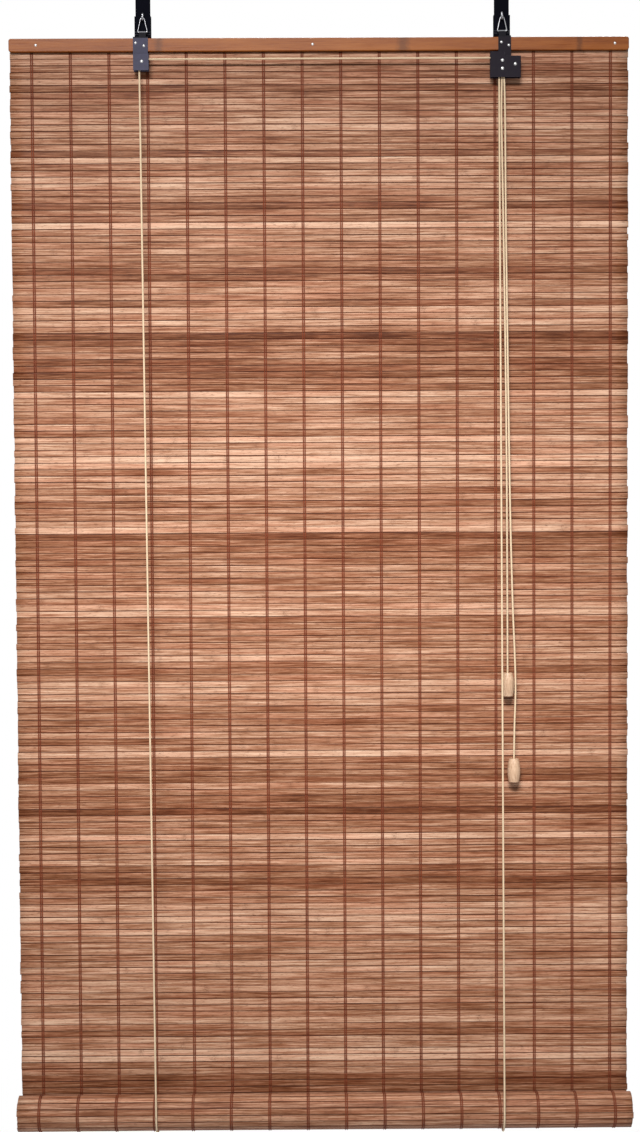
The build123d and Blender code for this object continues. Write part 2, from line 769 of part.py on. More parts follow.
def tassel_place(x, top):
    """Foot of a tassel on its cord, and the end of the cord above the knot in its cavity."""
    foot = top - tassel_height
    seat = foot + tassel_cavity_depth
    sink = math.sqrt(tassel_knot_radius ** 2 - tassel_hole_radius ** 2)
    knot_z = seat - sink - cord_play
    return (x, cord_y, foot), (x, cord_y, knot_z), knot_z + tassel_knot_radius + cord_play


upper_foot, upper_knot, upper_cord_end = tassel_place(266.6, -1010.0)
lower_foot, lower_knot, lower_cord_end = tassel_place(275.6, -1136.5)
pull_start_upper = (exit_point(roller_path_radius)[0], cord_y, pull_z)
pull_start_lower = (exit_point(outer_path_radius)[0], cord_y, pull_z)
pull_route_upper = [
    pull_start_upper,
    (258.5, cord_y, -182.0),
    (259.5, cord_y, -239.0),
    (261.3, cord_y, -345.0),
    (264.5, cord_y, -561.0),
    (266.2, cord_y, -774.0),
    (266.6, cord_y, upper_cord_end),
]
pull_route_lower = [
    pull_start_lower,
    (264.1, cord_y, -182.0),
    (264.4, cord_y, -239.0),
    (264.9, cord_y, -345.0),
    (267.7, cord_y, -561.0),
    (270.6, cord_y, -774.0),
    (274.2, cord_y, -915.0),
    (277.6, cord_y, -992.0),
    (278.5, cord_y, -1042.0),
    (276.1, cord_y, -1095.0),
    (275.6, cord_y, lower_cord_end),
]


def pull_cord(name, points):
    """Free cord with a round top, hanging to the knot in its tassel."""
    radii = corner_radii(points)
    print(name, "corner radii", [round(radius) for radius in radii])
    with BuildPart() as piece:
        with BuildLine() as route:
            FilletPolyline(*points, radius=radii)
        round_tube(route.wires()[0], cord_radius)
        with Locations(points[0]):
            Sphere(cord_radius)
    length = route.wires()[0].length
    print(name, "length", round(length, 1), "volume over section times length",
          round(piece.part.volume / (math.pi * cord_radius ** 2 * length), 4))
    keep(piece, name)


def tassel(name, foot):
    """Turned wooden barrel with a hole for the cord and a cavity for its knot."""
    belly = (tassel_radius, tassel_belly_height)
    shoulder = (tassel_radius * 0.93, tassel_height * 0.74)
    with BuildPart() as piece:
        with BuildSketch(Plane(origin=foot, x_dir=(1, 0, 0), z_dir=(0, -1, 0))):
            with BuildLine():
                Line((tassel_cavity_radius, 0), (tassel_foot_radius, 0))
                Spline((tassel_foot_radius, 0), belly, shoulder,
                       (tassel_top_radius, tassel_height))
                Line((tassel_top_radius, tassel_height), (tassel_hole_radius, tassel_height))
                Line((tassel_hole_radius, tassel_height),
                     (tassel_hole_radius, tassel_cavity_depth))
                Line((tassel_hole_radius, tassel_cavity_depth),
                     (tassel_cavity_radius, tassel_cavity_depth))
                Line((tassel_cavity_radius, tassel_cavity_depth), (tassel_cavity_radius, 0))
            make_face()
        revolve(axis=Axis(foot, (0, 0, 1)))
    keep(piece, name)


pull_cord("pull_cord_upper", pull_route_upper)
pull_cord("pull_cord_lower", pull_route_lower)
tassel("tassel_upper", upper_foot)
tassel("tassel_lower", lower_foot)

with BuildPart() as tassel_knots:
    with Locations(upper_knot, lower_knot):
        Sphere(tassel_knot_radius)
keep(tassel_knots, "tassel_knots")

print("eye", round(eye_y, 3), round(eye_z, 3), "link top", round(link_top_z, 3))
print("roll axis", round(roll_y, 3), round(roll_z, 3), "cord line", round(cord_y, 3))
print("pulley", left_pulley, "rollers", upper_roller, lower_roller, "cam", cam_pin)
print("free cords start", pull_start_upper, pull_start_lower)
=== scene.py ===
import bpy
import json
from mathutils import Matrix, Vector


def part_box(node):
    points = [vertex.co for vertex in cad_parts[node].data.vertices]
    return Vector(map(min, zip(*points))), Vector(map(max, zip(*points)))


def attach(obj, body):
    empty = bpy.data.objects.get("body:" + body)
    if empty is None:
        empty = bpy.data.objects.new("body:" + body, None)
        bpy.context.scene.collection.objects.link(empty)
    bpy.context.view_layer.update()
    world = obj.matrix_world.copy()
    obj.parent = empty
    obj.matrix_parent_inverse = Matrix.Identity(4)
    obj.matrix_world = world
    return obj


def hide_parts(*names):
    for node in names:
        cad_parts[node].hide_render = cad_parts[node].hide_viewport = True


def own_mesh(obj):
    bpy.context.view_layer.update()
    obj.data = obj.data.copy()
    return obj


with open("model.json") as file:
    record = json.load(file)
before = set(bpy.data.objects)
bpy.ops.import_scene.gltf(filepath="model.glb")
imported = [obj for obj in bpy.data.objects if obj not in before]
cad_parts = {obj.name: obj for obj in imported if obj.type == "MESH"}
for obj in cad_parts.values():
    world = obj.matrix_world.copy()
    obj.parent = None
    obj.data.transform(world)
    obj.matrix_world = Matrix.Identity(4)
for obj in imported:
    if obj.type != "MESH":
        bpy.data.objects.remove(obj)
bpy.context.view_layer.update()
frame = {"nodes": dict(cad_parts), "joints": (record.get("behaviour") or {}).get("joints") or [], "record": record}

import json
import math

import bpy
import numpy as np
from mathutils import Matrix, Vector

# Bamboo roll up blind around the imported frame. Metres; small sizes are written as millimetres
# times mm.
mm = 0.001
rng = np.random.RandomState(11)
joints = {j["name"]: j for j in frame["joints"]}

# ---- places taken from the frame ----
band_names = sorted(n for n in frame["nodes"] if n.startswith("slats_") and n != "slats_in_rail")
band_low, band_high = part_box("slats_01")
slat_left, slat_right = band_low.x, band_high.x
mat_y = (band_low.y + band_high.y) / 2
rail_foot, rail_top = (corner.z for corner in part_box("head_batten_front"))
bar_z = joints["rail_swing"]["pos_m"][2]
roll_y, roll_z = joints["roll_turn"]["pos_m"][1:]
cord_y = joints["pulley_turn"]["pos_m"][1]
hanging_slats = 164
slats_per_band = 14
pitch = (rail_foot - roll_z) / hanging_slats
thread_low, thread_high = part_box("warp_threads")

# ---- sizes of what Blender makes ----
thread_columns = 16
first_column = thread_low.x + 0.4 * mm
column_step = (thread_high.x - 0.4 * mm - first_column) / (thread_columns - 1)
thread_radius = 0.66 * mm
strand_offset = 1.30 * mm
strand_height = 1.20 * mm
roll_radius = mat_y - roll_y
layer_pitch = 3.3 * mm
roll_turns = 3.2
roll_slat_gap = 0.12 * mm
outer_slats = 22  # slats of the roll's outer turns, which are modelled more finely
threaded_slats = 26  # slats of the roll that its threads run over
thread_tuck = 0.22  # share of a slat's height over which a strand dips to the next face
cord_radius = 1.3 * mm
cord_sides = 10
cord_step = 2.5 * mm
mean_slat_gap = -0.03 * mm


# ---- meshes ----

class Parts:
    """Collects closed bodies with their point fields, and turns them into one mesh piece."""

    def __init__(self):
        self.points, self.quads, self.caps, self.fields, self.count = [], [], [], {}, 0

    def tube(self, rings, **fields):
        """Rings of points, shape (rings, sides, 3), joined into a tube with closed ends."""
        n, m = rings.shape[:2]
        i, j = np.meshgrid(np.arange(n - 1), np.arange(m), indexing="ij")
        a, b = i * m + j, i * m + (j + 1) % m
        quads = np.stack([a, b, b + m, a + m], axis=-1).reshape(-1, 4)
        self.quads.append(quads + self.count)
        self.caps.append((np.arange(m)[::-1] + self.count).tolist())
        self.caps.append((np.arange(m) + self.count + (n - 1) * m).tolist())
        self.points.append(rings.reshape(-1, 3))
        for key, values in fields.items():
            self.fields.setdefault(key, []).append(np.asarray(values, float).reshape(n * m, -1))
        self.count += n * m

    def piece(self, name, material, slot, body, *nodes):
        """One smooth mesh with flat end caps, riding on a body and standing for CAD nodes."""
        mesh = bpy.data.meshes.new(name)
        quads = np.concatenate(self.quads)
        mesh.from_pydata(np.concatenate(self.points).tolist(), [], quads.tolist() + self.caps)
        flat = np.zeros(len(mesh.polygons), bool)
        flat[len(quads):] = True
        mesh.polygons.foreach_set("use_smooth", ~flat)
        for key, chunks in self.fields.items():
            values = np.concatenate(chunks)
            kind = "FLOAT" if values.shape[1] == 1 else "FLOAT_VECTOR"
            field = mesh.attributes.new(key, kind, "POINT")
            field.data.foreach_set("value" if kind == "FLOAT" else "vector", values.ravel())
        mesh.materials.append(material)
        piece = bpy.data.objects.new(name, mesh)
        bpy.context.scene.collection.objects.link(piece)
        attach(piece, body)
        if nodes:
            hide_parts(*nodes)
        return piece


def cross(points, radius, sides, tangents=None):
    """Round sections along a line of points, and how far along and around each point lies."""
    points = np.asarray(points, float)
    if tangents is None:
        tangents = np.gradient(points, axis=0)
    tangents = tangents / np.linalg.norm(tangents, axis=1)[:, None]
    across = np.cross(tangents[0], (0.0, 1.0, 0.0))
    if np.linalg.norm(across) < 0.1:
        across = np.cross(tangents[0], (1.0, 0.0, 0.0))
    rings = np.empty((len(points), sides, 3))
    turn = np.arange(sides) * 2 * math.pi / sides
    radius = np.broadcast_to(radius, len(points))
    for i, tangent in enumerate(tangents):
        across = across - tangent * (across @ tangent)
        across /= np.linalg.norm(across)
        other = np.cross(tangent, across)
        circle = np.cos(turn)[:, None] * across + np.sin(turn)[:, None] * other
        rings[i] = points[i] + circle * radius[i]
    steps = np.linalg.norm(np.diff(points, axis=0), axis=1)
    along = np.concatenate([[0.0], np.cumsum(steps)])
    lay = np.stack([np.broadcast_to(along[:, None], (len(points), sides)),
                    np.broadcast_to(np.cos(turn), (len(points), sides)),
                    np.broadcast_to(np.sin(turn), (len(points), sides))], axis=-1)
    return rings, lay


def line(start, end):
    """Evenly spaced points from start to end."""
    start, end = np.array(start, float), np.array(end, float)
    count = max(2, int(np.linalg.norm(end - start) / cord_step) + 1)
    return start + (end - start) * np.linspace(0, 1, count)[:, None]


def arc(centre, radius, start, end, count):
    """Points of an arc in the XZ plane of the cords, degrees from +X towards +Z."""
    turn = np.radians(np.linspace(start, end, count))
    return np.stack([centre[0] + radius * np.cos(turn), np.full(count, cord_y),
                     centre[2] + radius * np.sin(turn)], axis=-1)


def join(*runs):
    """Runs of points one after another, leaving out each repeated joint."""
    return np.concatenate([runs[0]] + [run[1:] for run in runs[1:]])


# ---- materials ----

def new_material(name):
    """Empty node material, its shader and its tree."""
    material = bpy.data.materials.new(name)
    material.use_nodes = True
    tree = material.node_tree
    shader = tree.nodes["Principled BSDF"]
    return material, tree, shader


def add(tree, kind, inputs=None, out=0, **settings):
    """New node with settings and inputs; a socket is linked and a value is set. Gives an output."""
    node = tree.nodes.new(kind)
    for key, value in settings.items():
        setattr(node, key, value)
    for key, value in (inputs or {}).items():
        put(tree, node.inputs[key], value)
    return node.outputs[out]


def put(tree, socket, value):
    if isinstance(value, bpy.types.NodeSocket):
        tree.links.new(value, socket)
    elif isinstance(value, (tuple, list)) and len(value) == 3 and socket.type == "RGBA":
        socket.default_value = (*value, 1.0)
    else:
        socket.default_value = value


def attribute(tree, name, out="Fac"):
    return add(tree, "ShaderNodeAttribute", out=out, attribute_name=name)


def maths(tree, operation, a, b=0.0, c=0.0):
    return add(tree, "ShaderNodeMath", {0: a, 1: b, 2: c}, operation=operation)


def vector(tree, operation, a, b):
    return add(tree, "ShaderNodeVectorMath", {0: a, 1: b}, operation=operation)


def noise(tree, place, scale, detail=2.0, roughness=0.5, stretch=None):
    """Noise in metres; stretch scales the place along each axis first."""
    if stretch:
        place = vector(tree, "MULTIPLY", place, stretch)
    return add(tree, "ShaderNodeTexNoise", {"Vector": place, "Scale": scale, "Detail": detail,
                                            "Roughness": roughness})


def ramp(tree, value, stops):
    """Colour ramp with (place, colour) stops."""
    node = tree.nodes.new("ShaderNodeValToRGB")
    put(tree, node.inputs[0], value)
    while len(node.color_ramp.elements) < len(stops):
        node.color_ramp.elements.new(1.0)
    for element, (place, colour) in zip(node.color_ramp.elements, stops):
        element.position = place
        element.color = (*colour, 1.0)
    return node.outputs[0]


def span(tree, value, low, high, to_low=0.0, to_high=1.0):
    """Value mapped from one range to another, clamped."""
    return add(tree, "ShaderNodeMapRange", {"Value": value, "From Min": low, "From Max": high,
                                            "To Min": to_low, "To Max": to_high})


def mix(tree, share, a, b, blend="MIX"):
    node = tree.nodes.new("ShaderNodeMix")
    node.data_type = "RGBA"
    node.blend_type = blend
    put(tree, node.inputs[0], share)
    put(tree, node.inputs[6], a)
    put(tree, node.inputs[7], b)
    return node.outputs[2]


def bump(tree, shader, height, distance, strength):
    put(tree, shader.inputs["Normal"], add(tree, "ShaderNodeBump", {
        "Strength": strength, "Distance": distance, "Height": height}))


def object_place(tree):
    return add(tree, "ShaderNodeTexCoord", out="Object")


def slat_material():
    """Split bamboo: each slat its own tone, long fibres, edges darkened by staining and by painted shade, darker
    beside the threads, nodes.
    """
    material, tree, shader = new_material("split_bamboo")
    look = add(tree, "ShaderNodeSeparateXYZ", {0: attribute(tree, "slat_look", "Vector")}, out=0)
    parts = look.node.outputs
    tone, seed, edge = parts[0], parts[1], parts[2]
    rest = attribute(tree, "rest_place", "Vector")
    shift = add(tree, "ShaderNodeCombineXYZ", {0: maths(tree, "MULTIPLY", seed, 31.0),
                                               1: maths(tree, "MULTIPLY", seed, 7.0)})
    place = vector(tree, "ADD", rest, shift)
    drift = noise(tree, place, 1.0, 2.0, 0.5, (5.0, 25.0, 1.0))
    streak = noise(tree, place, 1.0, 3.0, 0.6, (13.0, 520.0, 60.0))
    fibre = noise(tree, place, 1.0, 3.0, 0.65, (60.0, 2200.0, 300.0))
    fleck = noise(tree, place, 1.0, 2.0, 0.5, (110.0, 900.0, 100.0))
    level = maths(tree, "MULTIPLY_ADD", span(tree, drift, 0.25, 0.75, -1.0, 1.0), 0.17, tone)
    level = maths(tree, "MULTIPLY_ADD", span(tree, streak, 0.25, 0.75, -1.0, 1.0), 0.36, level)
    level = maths(tree, "MULTIPLY_ADD", span(tree, fibre, 0.2, 0.8, -1.0, 1.0), 0.26, level)
    colour = ramp(tree, level, [
        (0.0, (0.070, 0.017, 0.005)), (0.17, (0.138, 0.043, 0.015)), (0.36, (0.238, 0.094, 0.045)),
        (0.5, (0.328, 0.155, 0.085)), (0.64, (0.435, 0.230, 0.142)), (0.83, (0.560, 0.342, 0.228)),
        (1.0, (0.670, 0.440, 0.305))])
    warm = noise(tree, place, 1.0, 1.0, 0.5, (6.0, 120.0, 1.0))
    warmth = span(tree, warm, 0.42, 0.66, 0.0, 0.22)
    colour = mix(tree, warmth, colour, (0.44, 0.155, 0.070), "OVERLAY")
    dark_fleck = span(tree, fleck, 0.60, 0.68, 0.0, 0.60)
    colour = mix(tree, dark_fleck, colour, (0.12, 0.045, 0.022))
    node = attribute(tree, "node_mark")
    swirl = noise(tree, place, 1.0, 3.0, 0.7, (420.0, 900.0, 200.0))
    swirl = maths(tree, "MULTIPLY", span(tree, swirl, 0.42, 0.62, 0.0, 0.75), node)
    colour = mix(tree, swirl, colour, (0.16, 0.065, 0.033))
    # Slats darker within a few mm of each thread column.
    rest_x = add(tree, "ShaderNodeSeparateXYZ", {0: rest}, out=0)
    across = maths(tree, "SUBTRACT", rest_x, first_column)
    off_column = maths(tree, "PINGPONG", across, column_step / 2)
    darker_by_threads = span(tree, off_column, 1.6 * mm, 3.0 * mm, 0.55, 0.0)
    colour = mix(tree, darker_by_threads, colour, (0.150, 0.040, 0.018))
    # Dark slat edges: partly staining, partly painted shade in the gaps and under each slat's lower edge.
    edge_staining_and_shade = span(tree, edge, 0.05, 0.85, 0.0, 0.97)
    colour = mix(tree, edge_staining_and_shade, colour, (0.052, 0.010, 0.003))
    put(tree, shader.inputs["Base Color"], colour)
    put(tree, shader.inputs["Roughness"], span(tree, fibre, 0.2, 0.8, 0.42, 0.62))
    shader.inputs["Specular IOR Level"].default_value = 0.14
    height = maths(tree, "MULTIPLY_ADD", streak, 0.6, fibre)
    bump(tree, shader, height, 0.12 * mm, 0.7)
    return material


def batten_material():
    """Brown lacquered bamboo batten: long grain, reddish clouds and three darker nodes."""
    material, tree, shader = new_material("lacquered_bamboo")
    place = object_place(tree)
    cloud = noise(tree, place, 1.0, 3.0, 0.55, (7.0, 40.0, 60.0))
    grain = noise(tree, place, 1.0, 4.0, 0.6, (22.0, 700.0, 700.0))
    fine = noise(tree, place, 1.0, 3.0, 0.7, (90.0, 2600.0, 2600.0))
    level = maths(tree, "MULTIPLY_ADD", grain, 0.45, maths(tree, "MULTIPLY", cloud, 0.6))
    colour = ramp(tree, level, [
        (0.30, (0.135, 0.026, 0.002)), (0.48, (0.235, 0.057, 0.005)),
        (0.62, (0.300, 0.084, 0.009)), (0.8, (0.39, 0.130, 0.018))])
    x = add(tree, "ShaderNodeSeparateXYZ", {0: place}, out=0)
    wobble = maths(tree, "MULTIPLY_ADD", noise(tree, place, 260.0), 8 * mm, x)
    for centre, half in ((-0.2335, 8 * mm), (0.121, 12 * mm), (0.377, 6 * mm)):
        reach = maths(tree, "ABSOLUTE", maths(tree, "SUBTRACT", wobble, centre))
        dark = span(tree, reach, half * 0.2, half, 0.62, 0.0)
        colour = mix(tree, dark, colour, (0.055, 0.012, 0.004))
    colour = mix(tree, span(tree, fine, 0.35, 0.7, 0.0, 0.22), colour, (0.50, 0.17, 0.025))
    put(tree, shader.inputs["Base Color"], colour)
    put(tree, shader.inputs["Roughness"], span(tree, grain, 0.3, 0.7, 0.26, 0.40))
    shader.inputs["Specular IOR Level"].default_value = 0.25
    shader.inputs["Coat Weight"].default_value = 0.06
    shader.inputs["Coat Roughness"].default_value = 0.22
    bump(tree, shader, maths(tree, "ADD", grain, fine), 0.06 * mm, 0.6)
    return material


def cord_material(name, light, dark, period, strands):
    """Braided cord: two families of strands crossing, laid by how far along and around a point is."""
    material, tree, shader = new_material(name)
    lay = add(tree, "ShaderNodeSeparateXYZ", {0: attribute(tree, "cord_lay", "Vector")}, out=0)
    along, cosine, sine = lay.node.outputs
    around = maths(tree, "MULTIPLY", maths(tree, "ARCTAN2", sine, cosine), float(strands))
    travel = maths(tree, "MULTIPLY", along, 2 * math.pi / period)
    left = maths(tree, "SINE", maths(tree, "ADD", travel, around))
    right = maths(tree, "SINE", maths(tree, "SUBTRACT", travel, around))
    braid = maths(tree, "MULTIPLY", left, right)
    height = span(tree, braid, -1.0, 1.0)
    dirt = noise(tree, object_place(tree), 90.0, 3.0)
    share = maths(tree, "MULTIPLY_ADD", dirt, 0.35, maths(tree, "MULTIPLY", height, 0.75))
    colour = ramp(tree, share, [(0.15, dark), (0.75, light)])
    put(tree, shader.inputs["Base Color"], colour)
    shader.inputs["Roughness"].default_value = 0.78
    shader.inputs["Sheen Weight"].default_value = 0.25
    shader.inputs["Sheen Roughness"].default_value = 0.5
    bump(tree, shader, height, 0.25 * mm, 0.9)
    return material


def thread_material():
    """Dark red-brown twisted thread."""
    material, tree, shader = new_material("warp_thread")
    rest = attribute(tree, "rest_place", "Vector")
    place = vector(tree, "MULTIPLY", rest, (900.0, 300.0, 700.0))
    twist = add(tree, "ShaderNodeTexWave", {"Vector": place, "Scale": 1.0, "Distortion": 1.0,
                                            "Detail": 1.0}, bands_direction="DIAGONAL")
    fade = noise(tree, rest, 1.0, 2.0, 0.5, (20.0, 20.0, 60.0))
    share = maths(tree, "MULTIPLY_ADD", twist, 0.45, maths(tree, "MULTIPLY", fade, 0.6))
    colour = ramp(tree, share, [
        (0.2, (0.075, 0.011, 0.004)), (0.5, (0.165, 0.030, 0.011)), (0.85, (0.270, 0.068, 0.026))])
    put(tree, shader.inputs["Base Color"], colour)
    shader.inputs["Roughness"].default_value = 0.8
    shader.inputs["Specular IOR Level"].default_value = 0.15
    bump(tree, shader, twist, 0.08 * mm, 0.8)
    return material


def paint_material(name, base, worn, roughness):
    """Painted steel: mottled and rubbed at its edges, with painted shade above the rail and a painted highlight
    line at the link's bar.
    """
    material, tree, shader = new_material(name)
    place = object_place(tree)
    mottle = noise(tree, place, 160.0, 4.0, 0.6)
    fine = noise(tree, place, 1400.0, 2.0, 0.6)
    colour = mix(tree, span(tree, mottle, 0.35, 0.7, 0.0, 0.7), base, tuple(1.6 * c for c in base))
    geometry = tree.nodes.new("ShaderNodeNewGeometry")
    rounded = add(tree, "ShaderNodeBevel", {"Radius": 0.5 * mm}, samples=4)
    facing = add(tree, "ShaderNodeVectorMath", {0: geometry.outputs["Normal"], 1: rounded},
                 out="Value", operation="DOT_PRODUCT")
    rubbed = maths(tree, "MULTIPLY", span(tree, facing, 0.80, 0.97, 1.0, 0.0),
                   span(tree, mottle, 0.40, 0.62, 0.15, 0.9))
    colour = mix(tree, rubbed, colour, worn)
    height = add(tree, "ShaderNodeSeparateXYZ", {0: place}, out=2)
    # Painted shade: the strap tab above the rail top is painted near black to stand for its shadow.
    colour = mix(tree, span(tree, height, rail_top - 0.2 * mm, rail_top + 0.4 * mm), colour,
                 (0.006, 0.005, 0.009))
    # Painted highlight: a pale line across the tab at the link's bar height, standing for the bright top of the
    # curl.
    off_bar = maths(tree, "ABSOLUTE", maths(tree, "SUBTRACT", height, bar_z))
    painted_bar_highlight = span(tree, off_bar, 0.4 * mm, 0.8 * mm, 0.9, 0.0)
    colour = mix(tree, painted_bar_highlight, colour, (0.30, 0.30, 0.32))
    put(tree, shader.inputs["Base Color"], colour)
    shader.inputs["Specular IOR Level"].default_value = 0.12
    put(tree, shader.inputs["Roughness"],
        span(tree, mottle, 0.3, 0.7, roughness - 0.07, roughness + 0.09))
    bump(tree, shader, fine, 0.02 * mm, 0.5)
    return material


def metal_material(name, base, roughness, scratch_scale):
    """Bare or plated metal with fine marks."""
    material, tree, shader = new_material(name)
    place = object_place(tree)
    marks = noise(tree, place, scratch_scale, 3.0, 0.7)
    cloud = noise(tree, place, scratch_scale * 0.15, 2.0)
    colour = mix(tree, span(tree, cloud, 0.35, 0.65), tuple(0.78 * c for c in base), base)
    put(tree, shader.inputs["Base Color"], colour)
    shader.inputs["Metallic"].default_value = 1.0
    put(tree, shader.inputs["Roughness"],
        span(tree, marks, 0.3, 0.7, roughness - 0.06, roughness + 0.10))
    bump(tree, shader, marks, 0.01 * mm, 0.4)
    return material


def tassel_material():
    """Pale turned wood with upright grain and faint turning rings."""
    material, tree, shader = new_material("turned_wood")
    place = object_place(tree)
    grain = noise(tree, place, 1.0, 4.0, 0.6, (900.0, 900.0, 45.0))
    rings = noise(tree, place, 1.0, 2.0, 0.5, (20.0, 20.0, 1500.0))
    level = maths(tree, "MULTIPLY_ADD", rings, 0.2, maths(tree, "MULTIPLY", grain, 0.8))
    colour = ramp(tree, level, [
        (0.30, (0.36, 0.205, 0.115)), (0.5, (0.555, 0.360, 0.230)), (0.7, (0.70, 0.490, 0.335))])
    put(tree, shader.inputs["Base Color"], colour)
    put(tree, shader.inputs["Roughness"], span(tree, grain, 0.3, 0.7, 0.38, 0.52))
    shader.inputs["Coat Weight"].default_value = 0.15
    shader.inputs["Coat Roughness"].default_value = 0.3
    bump(tree, shader, maths(tree, "ADD", grain, rings), 0.08 * mm, 0.7)
    return material


def webbing_material():
    """Black woven webbing: ribs across and warp yarns along."""
    material, tree, shader = new_material("black_webbing")
    place = object_place(tree)
    xyz = add(tree, "ShaderNodeSeparateXYZ", {0: place}, out=0).node.outputs
    yarn = maths(tree, "SINE", maths(tree, "MULTIPLY", xyz[0], 2 * math.pi / (1.1 * mm)))
    rib = maths(tree, "SINE", maths(tree, "MULTIPLY_ADD", yarn, 0.9,
                                    maths(tree, "MULTIPLY", xyz[2], 2 * math.pi / (0.9 * mm))))
    fuzz = noise(tree, place, 2500.0, 2.0, 0.6)
    weave = maths(tree, "MULTIPLY", yarn, rib)
    height = maths(tree, "MULTIPLY_ADD", fuzz, 0.5, maths(tree, "MULTIPLY", weave, 0.5))
    colour = ramp(tree, height, [(0.0, (0.0015, 0.0015, 0.004)), (0.7, (0.0050, 0.0055, 0.0110))])
    put(tree, shader.inputs["Base Color"], colour)
    shader.inputs["Roughness"].default_value = 0.8
    shader.inputs["Specular IOR Level"].default_value = 0.06
    bump(tree, shader, height, 0.18 * mm, 0.8)
    return material


def plastic_material(name, base, roughness):
    """Moulded nylon with faint marks."""
    material, tree, shader = new_material(name)
    place = object_place(tree)
    marks = noise(tree, place, 600.0, 3.0)
    colour = mix(tree, marks, tuple(0.8 * c for c in base), base)
    put(tree, shader.inputs["Base Color"], colour)
    put(tree, shader.inputs["Roughness"], span(tree, marks, 0.3, 0.7, roughness, roughness + 0.12))
    shader.inputs["Subsurface Weight"].default_value = 0.1
    shader.inputs["Subsurface Radius"].default_value = (mm, mm, mm)
    bump(tree, shader, marks, 0.02 * mm, 0.4)
    return material


split_bamboo = slat_material()
warp_thread = thread_material()
cotton_cord = cord_material("cotton_cord", (0.83, 0.65, 0.43), (0.46, 0.31, 0.18), 2.6 * mm, 4)
stitch_thread = cord_material("stitch_thread", (0.10, 0.10, 0.13), (0.03, 0.03, 0.04), 0.8 * mm, 2)
slot_materials = {
    "bamboo_batten": batten_material(),
    "turned_wood": tassel_material(),
    "black_webbing": webbing_material(),
    "plated_steel": metal_material("plated_steel", (0.62, 0.62, 0.65), 0.30, 900.0),
    "nail_steel": metal_material("nail_steel", (0.95, 0.95, 0.94), 0.42, 1500.0),
    "painted_bracket": paint_material("painted_bracket", (0.048, 0.046, 0.074),
                                      (0.15, 0.15, 0.19), 0.5),
    "lock_steel": paint_material("lock_steel", (0.007, 0.004, 0.009), (0.10, 0.09, 0.11), 0.5),
    "pulley_nylon": plastic_material("pulley_nylon", (0.62, 0.60, 0.54), 0.36),
    "cam_steel": metal_material("cam_steel", (0.42, 0.42, 0.43), 0.34, 700.0),
}
for subpart in frame["record"]["subparts"]:
    dress = slot_materials.get(subpart["material_slot"])
    if dress:
        node = frame["nodes"][subpart["node"]]
        node.data.materials.clear()
        node.data.materials.append(dress)


# ---- camera ----

def place_camera(place, pitch_down, yaw, roll, lens):
    """Camera at a point, looking along +Y turned by small angles in radians."""
    ahead = Vector((math.sin(yaw) * math.cos(pitch_down), math.cos(yaw) * math.cos(pitch_down),
                    -math.sin(pitch_down)))
    right = Vector((math.cos(yaw), -math.sin(yaw), 0.0))
    up = right.cross(ahead)
    tilted_right = math.cos(roll) * right + math.sin(roll) * up
    tilted_up = math.cos(roll) * up - math.sin(roll) * right
    data = bpy.data.cameras.new("camera")
    data.lens = lens
    data.sensor_width = 36.0
    data.clip_start = 0.05
    data.clip_end = 60.0
    camera = bpy.data.objects.new("camera", data)
    bpy.context.scene.collection.objects.link(camera)
    axes = Matrix((tilted_right, tilted_up, -ahead)).transposed()
    camera.matrix_world = Matrix.Translation(place) @ axes.to_4x4()
    bpy.context.scene.camera = camera


place_camera(Vector((-0.02602, -2.65294, -0.7480)), 0.0393, 0.00688, -0.0056, 57.25)


# ---- free cords ----

def route_points(name, places, smoothness):
    """Points of the smooth line, a NURBS spline, whose control points are these places in mm."""
    curve = bpy.data.curves.new(name, "CURVE")
    curve.dimensions = "3D"
    curve.resolution_u = smoothness
    spline = curve.splines.new("NURBS")
    spline.points.add(len(places) - 1)
    for point, (x, z) in zip(spline.points, places):
        point.co = (x * mm, cord_y, z * mm, 1.0)
    spline.order_u = 3
    spline.use_endpoint_u = True
    holder = bpy.data.objects.new(name, curve)
    mesh = bpy.data.meshes.new_from_object(holder)
    points = np.array([vertex.co for vertex in mesh.vertices], float)
    bpy.data.objects.remove(holder)
    bpy.data.meshes.remove(mesh)
    return points


def rope(name, points, body, *nodes):
    """Braided cord along a line of points."""
    swell = 1 + 0.03 * np.sin(np.arange(len(points)) * 1.7)
    rings, lay = cross(points, cord_radius * swell, cord_sides)
    parts = Parts()
    parts.tube(rings, cord_lay=lay)
    return parts.piece(name, cotton_cord, "cotton_cord", body, *nodes)


def knot(name, centre, reach, body, thickness):
    """Tight overhand knot, as a closed trefoil of cord."""
    turn = np.linspace(0, 2 * math.pi, 73)
    shape = np.stack([np.sin(turn) + 2 * np.sin(2 * turn), np.cos(turn) - 2 * np.cos(2 * turn),
                      -1.6 * np.sin(3 * turn)], axis=-1)
    shape *= (reach - thickness) / 3
    tangents = np.gradient(np.concatenate([shape[-2:-1], shape, shape[1:2]]), axis=0)[1:-1]
    rings, lay = cross(shape + np.array(centre), thickness, cord_sides, tangents)
    parts = Parts()
    parts.tube(rings, cord_lay=lay)
    return parts.piece(name, cotton_cord, "cotton_cord", body)


pull_routes = {
    "upper": [(259.77, -143.4), (258.5, -182.0), (259.5, -239.0), (261.3, -345.0), (264.5, -561.0),
              (266.2, -774.0), (266.6, -1031.54)],
    "lower": [(262.81, -143.4), (264.1, -182.0), (264.4, -239.0), (264.9, -345.0), (267.7, -561.0),
              (270.6, -774.0), (274.2, -915.0), (277.6, -992.0), (278.5, -1042.0), (276.1, -1095.0),
              (275.6, -1158.04)],
}
for level, places in pull_routes.items():
    points = route_points(f"route_{level}", places, 60)
    cord = rope(f"braided_pull_cord_{level}", points, "pull_cords", f"pull_cord_{level}")
    end_knot = knot(f"end_knot_{level}", points[-1] - np.array((0.0, 0.0, 3.1 * mm)), 3.0 * mm,
                    "pull_cords", 1.1 * mm)
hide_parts("tassel_knots")


# ---- lift cords, cross cord and slings ----

